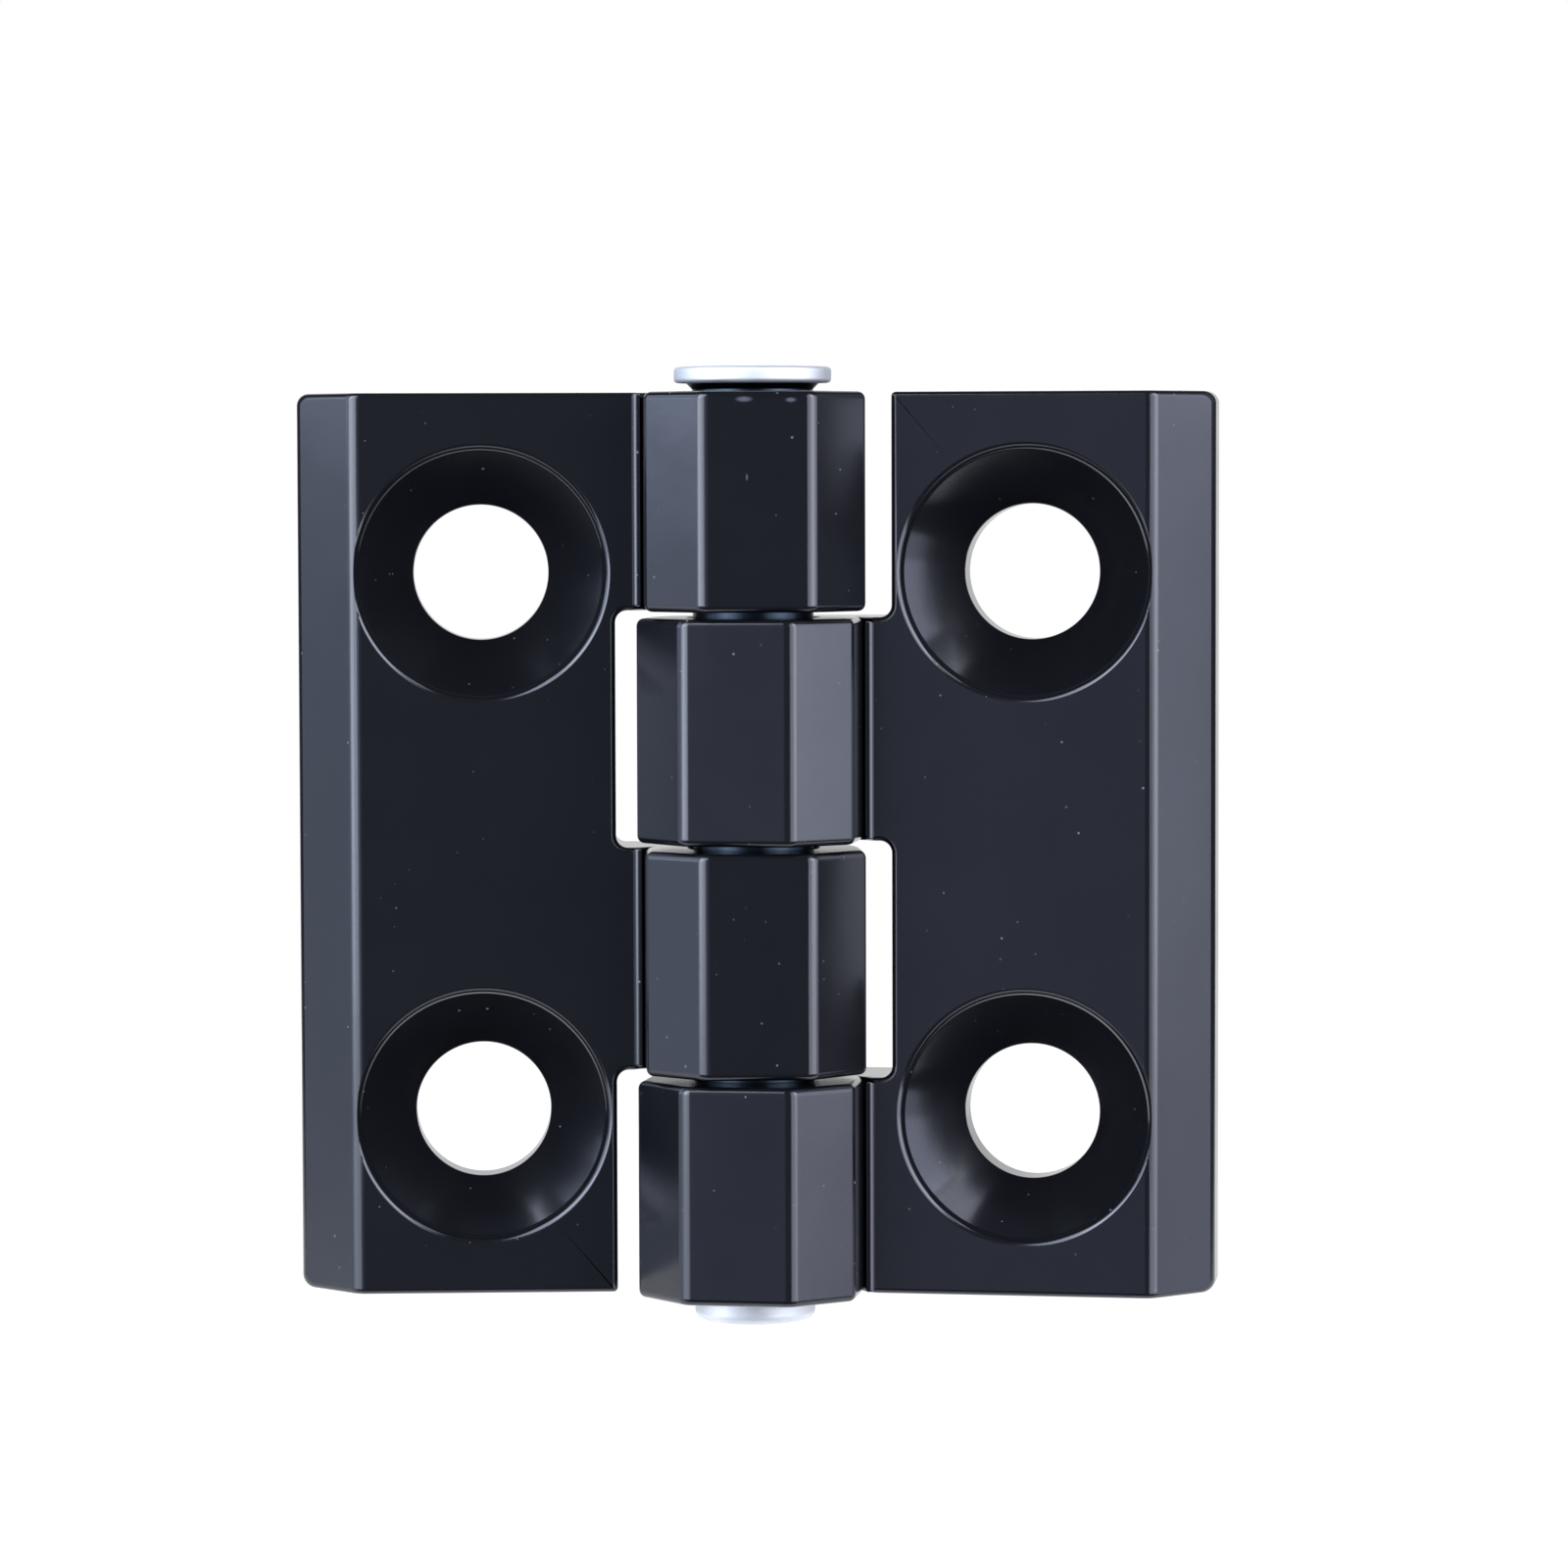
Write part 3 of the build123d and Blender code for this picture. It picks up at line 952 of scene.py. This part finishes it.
class Hinge:
    """The hinge: two leaves from one casting and the pin that joins them."""

    FOLD_DEGREES = 12.0
    # Edges that turn further than this are shaded sharp.
    CREASE_DEGREES = 33.0
    PIN_OVERHANG = 1.2
    HEAD_THICKNESS = 1.05
    # How far under the head the painted shade of the neck stops.
    SHADE_EDGE = 0.03

    def __init__(self) -> None:
        """Reads the pin's place and the outer sizes from the frame."""
        joint = frame["joints"][0]
        self.axis = Vector(joint["pos_m"]) / MM
        leaf_low, leaf_high = (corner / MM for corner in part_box("fixed_leaf"))
        pin_low, pin_high = (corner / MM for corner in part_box("hinge_pin"))
        self.sizes = CastingSizes(
            length=leaf_high.z - leaf_low.z, reach=self.axis.x - leaf_low.x, axis_height=-self.axis.y)
        head_radius = (pin_high.x - pin_low.x) / 2
        self.turning = Turning(
            shank_radius=head_radius - self.PIN_OVERHANG, head_radius=head_radius,
            head_bottom=pin_high.z - self.HEAD_THICKNESS, head_top=pin_high.z, tail_end=pin_low.z)

    def build(self) -> None:
        """Builds, places and dresses the three pieces."""
        casting = Casting(self.sizes, Roundings()).build()
        turned = casting.copy()
        coat = PowderCoat().build(self.axis)
        # The pin's painted shade runs from the leaves' bottom end to just under the head.
        shade_from = -self.sizes.half_length * MM
        shade_to = (self.turning.head_bottom - self.SHADE_EDGE) * MM
        zinc = ZincPlate().build(tuple(self.axis * MM), shade_from, shade_to)
        at_pin = Matrix.Translation(self.axis)
        swung = Matrix.Rotation(math.radians(-self.FOLD_DEGREES), 4, "Z")
        end_for_end = Matrix.Rotation(math.radians(180), 4, "Y")
        swung_place = at_pin @ swung @ end_for_end
        self.finish(casting, "fixed_leaf", Side.FIXED, Finish.POWDER_COAT, coat, at_pin)
        self.finish(turned, "moving_leaf", Side.MOVING, Finish.POWDER_COAT, coat, swung_place)
        self.finish(self.turning.build(), "hinge_pin", Side.FIXED, Finish.ZINC_PLATE, zinc, at_pin)

    def finish(self, piece: Workpiece, cad_node: str, side: Side, finish: Finish,
               material: bpy.types.Material, place: Matrix) -> None:
        """Places a piece in the frame, dresses it and puts it in its CAD node's stead.

        Args:
            piece: The piece in millimetres, in its own place.
            cad_node: The node that it stands for.
            side: The body that it moves with.
            finish: The record's slot for its finish.
            material: The finish itself.
            place: Where it goes, in millimetres.
        """
        piece.move(Matrix.Diagonal((MM, MM, MM, 1)) @ place)
        piece.smooth(self.CREASE_DEGREES)
        obj = piece.obj
        obj.name = f"{cad_node}_finished"
        obj.data.name = obj.name
        obj.data.materials.clear()
        obj.data.materials.append(material)
        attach(obj, side.value)
        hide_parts(cad_node)
        log.info("%s: %d faces on %s in %s", obj.name, len(obj.data.polygons), side.value, finish.value)


class LampColour(Enum):
    """Colours of the lamps, from the bluest to the whitest, in sRGB."""

    SKY = "#dbe7ff"
    PALE_BLUE = "#dce5ff"
    PALE_LILAC = "#ebedff"
    COOL_WHITE = "#f0f4ff"
    LILAC_WHITE = "#f6f6ff"


@dataclass(frozen=True)
class Softbox:
    """A rectangular panel of soft light aimed at the hinge.

    Angles are in degrees from the hinge: azimuth from the camera's side, negative to the left,
    and elevation above the horizon.

    Args:
        name: The lamp's name.
        azimuth: Where the panel starts and ends sideways.
        elevation: Where it starts and ends upwards.
        radiance: How bright it looks, where 1 is white.
        colour: Its colour.
    """

    name: str
    azimuth: Point2
    elevation: Point2
    radiance: float
    colour: LampColour
    distance: float = 0.7

    def build(self) -> None:
        """Hangs the lamp."""
        turn, lift = (math.radians(sum(ends) / 2) for ends in (self.azimuth, self.elevation))
        half_turn, half_lift = (
            math.radians(ends[1] - ends[0]) / 2 for ends in (self.azimuth, self.elevation))
        way = Vector((math.sin(turn) * math.cos(lift), -math.cos(turn) * math.cos(lift), math.sin(lift)))
        bpy.ops.object.light_add(type="AREA", location=way * self.distance)
        lamp = bpy.context.object
        lamp.name = self.name
        lamp.rotation_euler = way.to_track_quat("Z", "Y").to_euler()
        lamp.visible_camera = False
        light = lamp.data
        light.shape = "RECTANGLE"
        light.size = 2 * self.distance * math.tan(half_turn) * math.cos(lift)
        light.size_y = 2 * self.distance * math.tan(half_lift)
        light.color = linear(self.colour.value)[:3]
        light.energy = self.radiance * math.pi * light.size * light.size_y


@dataclass(frozen=True)
class Studio:
    """Pale floor, backdrop, soft lamps and the camera at the photograph's viewing angle."""

    floor_height: float = -0.1
    floor_front: float = 0.0
    floor_half_width: float = 0.09
    floor_shadow_share: float = 0.25
    floor_glow: float = 1.28
    backdrop_distance: float = 0.9
    half_width: float = 0.5
    backdrop_height: float = 0.9
    surface_steps: int = 4
    room_grey: float = 0.085
    room_tint: Point3 = (0.91, 0.93, 1.18)
    camera_place: Point3 = (0.00304, -0.37535, 0.02465)
    camera_yaw: float = 2.64
    camera_pitch: float = -3.21
    camera_roll: float = -0.16
    lens: float = 127.85
    sensor: float = 36.0
    clip: Point2 = (0.01, 10.0)
    softboxes: tuple[Softbox, ...] = (
        Softbox("left_rear_low", (-102, -93), (-20, 3), 0.9, LampColour.SKY),
        Softbox("left_rear_high", (-102, -93), (3, 50), 2.8, LampColour.SKY),
        Softbox("left_side_low", (-93, -76), (-20, 3), 1.1, LampColour.SKY),
        Softbox("left_side_mid", (-93, -76), (3, 16), 3.7, LampColour.SKY),
        Softbox("left_side_high", (-93, -76), (16, 42), 1.7, LampColour.SKY),
        Softbox("left_turn", (-76, -66), (-20, 42), 2.0, LampColour.SKY),
        Softbox("left_key_low", (-66, -45), (-20, -6), 2.7, LampColour.COOL_WHITE),
        Softbox("left_key_mid", (-66, -45), (-6, 16), 6.2, LampColour.COOL_WHITE),
        Softbox("left_key_high", (-66, -45), (16, 42), 8.2, LampColour.COOL_WHITE),
        Softbox("left_top", (-76, -24), (42, 62), 4.3, LampColour.COOL_WHITE),
        Softbox("left_edge_low", (-45, -32), (-20, -6), 2.4, LampColour.COOL_WHITE),
        Softbox("left_edge_high", (-45, -32), (-6, 42), 4.3, LampColour.COOL_WHITE),
        Softbox("left_fade", (-32, -24), (-20, 42), 1.1, LampColour.PALE_BLUE),
        Softbox("left_glow", (-24, -8), (-20, 42), 0.29, LampColour.PALE_BLUE),
        Softbox("front_fill", (-8, 8), (-20, 20), 0.072, LampColour.PALE_BLUE),
        Softbox("right_edge", (25, 42), (-20, 42), 2.6, LampColour.LILAC_WHITE),
        Softbox("right_key_low", (42, 64), (-20, -6), 3.5, LampColour.LILAC_WHITE),
        Softbox("right_key_mid", (42, 64), (-6, 16), 5, LampColour.LILAC_WHITE),
        Softbox("right_key_high", (42, 64), (16, 42), 6.5, LampColour.LILAC_WHITE),
        Softbox("right_top", (42, 70), (42, 60), 2.5, LampColour.LILAC_WHITE),
        Softbox("right_side_low", (64, 76), (-20, -6), 1.4, LampColour.PALE_LILAC),
        Softbox("right_side_mid", (64, 76), (-6, 16), 2.4, LampColour.PALE_LILAC),
        Softbox("right_side_high", (64, 76), (16, 36), 2.4, LampColour.PALE_LILAC),
        Softbox("right_back_low", (76, 82), (-20, 3), 1.6, LampColour.PALE_LILAC),
        Softbox("right_back_mid", (76, 82), (3, 16), 3.6, LampColour.PALE_LILAC),
        Softbox("right_back_high", (76, 82), (16, 36), 2.4, LampColour.PALE_LILAC),
        Softbox("right_rear_high", (82, 120), (3, 42), 0.29, LampColour.PALE_LILAC),
    )

    def build(self) -> None:
        """Builds the whole studio round the hinge."""
        self.build_floor(StudioWhite("floor_white", self.floor_shadow_share, self.floor_glow).build())
        self.build_backdrop(StudioWhite("backdrop_white", 0.0, 1.0).build())
        for softbox in self.softboxes:
            softbox.build()
        self.build_world()
        self.build_camera()
        bpy.context.scene.view_settings.view_transform = "Standard"

    def build_floor(self, white: bpy.types.Material) -> None:
        """Lays the floor under and behind the hinge."""
        depth = self.backdrop_distance - self.floor_front
        bpy.ops.mesh.primitive_grid_add(
            x_subdivisions=self.surface_steps, y_subdivisions=self.surface_steps, size=1,
            location=(0, self.floor_front + depth / 2, self.floor_height),
            scale=(2 * self.floor_half_width, depth, 1))
        self.stage(bpy.context.object, "studio_floor", white)

    def build_backdrop(self, white: bpy.types.Material) -> None:
        """Stands the backdrop behind the hinge."""
        middle = self.floor_height + self.backdrop_height / 2
        bpy.ops.mesh.primitive_grid_add(
            x_subdivisions=self.surface_steps, y_subdivisions=self.surface_steps, size=1,
            location=(0, self.backdrop_distance, middle), rotation=(math.radians(90), 0, 0),
            scale=(2 * self.half_width, self.backdrop_height, 1))
        self.stage(bpy.context.object, "studio_backdrop", white)

    def stage(self, obj: bpy.types.Object, name: str, white: bpy.types.Material) -> None:
        """Names a surface of the studio and paints it."""
        obj.name = name
        Workpiece(obj).apply_place()
        obj.data.materials.append(white)

    def build_world(self) -> None:
        """Makes the room white to the camera and dim grey for the light it gives back."""
        world = bpy.data.worlds.new("studio_room")
        world.use_nodes = True
        tree = world.node_tree
        tree.nodes.clear()
        grey = (*(share * self.room_grey for share in self.room_tint), 1.0)
        seen = seen_ray(tree, ("Is Camera Ray", "Is Transmission Ray"))
        colour = node(tree, "ShaderNodeMix", {"data_type": "RGBA"},
                      {0: seen, 6: grey, 7: linear("#ffffff")})
        back = node(tree, "ShaderNodeBackground", None, {"Color": colour.outputs[2], "Strength": 1.0})
        node(tree, "ShaderNodeOutputWorld", None, {"Surface": back.outputs[0]})
        bpy.context.scene.world = world

    def build_camera(self) -> None:
        """Sets up the camera from the place and angles that fit the photograph."""
        bpy.ops.object.camera_add()
        camera = bpy.context.object
        camera.name = "studio_camera"
        aim = (
            Matrix.Rotation(-math.radians(self.camera_yaw), 4, "Z")
            @ Matrix.Rotation(math.radians(90 + self.camera_pitch), 4, "X")
            @ Matrix.Rotation(math.radians(self.camera_roll), 4, "Z")
        )
        camera.matrix_world = Matrix.Translation(self.camera_place) @ aim
        camera.data.lens = self.lens
        camera.data.sensor_width = self.sensor
        camera.data.clip_start, camera.data.clip_end = self.clip
        bpy.context.scene.camera = camera


def main() -> None:
    """Builds the hinge and the studio round it."""
    logging.basicConfig(level=logging.INFO, format="%(name)s: %(message)s")
    Hinge().build()
    Studio().build()


if __name__ == "__main__":
    main()
